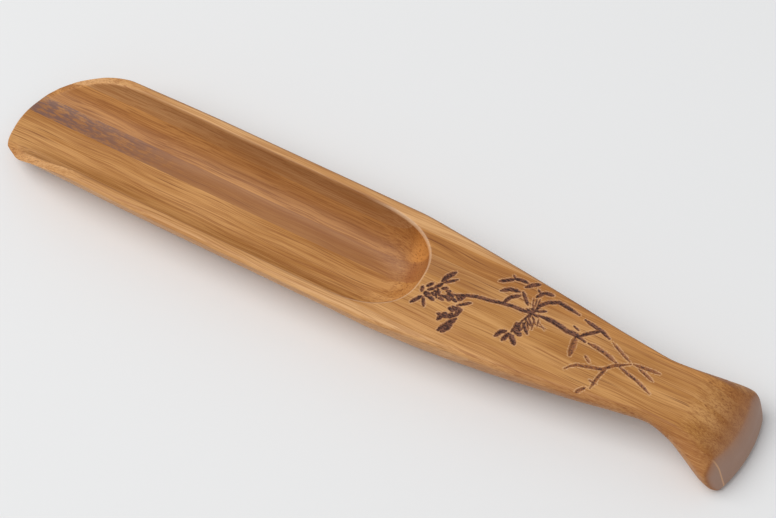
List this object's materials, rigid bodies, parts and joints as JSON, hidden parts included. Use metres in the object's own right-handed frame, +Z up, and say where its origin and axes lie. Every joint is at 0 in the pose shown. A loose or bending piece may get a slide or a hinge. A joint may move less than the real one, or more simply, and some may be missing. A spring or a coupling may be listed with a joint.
{
  "type": "tea scoop",
  "caption": "Hand-carved bamboo tea scoop: open U-shaped trough with a thin pouring lip, tapering handle with a burnt blossom branch, and a flared heel it rests on.",
  "frame": {"origin": "middle of the bounding box's footprint, on the table", "axes": "+X from the pouring lip to the heel, +Y across to the far side, +Z up from the table"},
  "size_m": [0.179, 0.03, 0.0135],
  "materials": {
    "near_edge_strip": "carbonised bamboo, thin satin lacquer",
    "near_wall_strip": "carbonised bamboo, thin satin lacquer",
    "near_heel_block": "carbonised bamboo, thin satin lacquer",
    "near_floor_strip": "carbonised bamboo, thin satin lacquer",
    "centre_strip": "carbonised bamboo, thin satin lacquer",
    "dark_strip": "carbonised bamboo, thin satin lacquer",
    "far_wall_strip": "carbonised bamboo, thin satin lacquer",
    "far_edge_strip": "carbonised bamboo, thin satin lacquer"
  },
  "bodies": {
    "root": {"near_edge_strip": "near_edge_strip", "near_wall_strip": "near_wall_strip", "near_heel_block": "near_heel_block", "near_floor_strip": "near_floor_strip", "centre_strip": "centre_strip", "dark_strip": "dark_strip", "far_wall_strip": "far_wall_strip", "far_edge_strip": "far_edge_strip"}
  },
  "joints": []
}
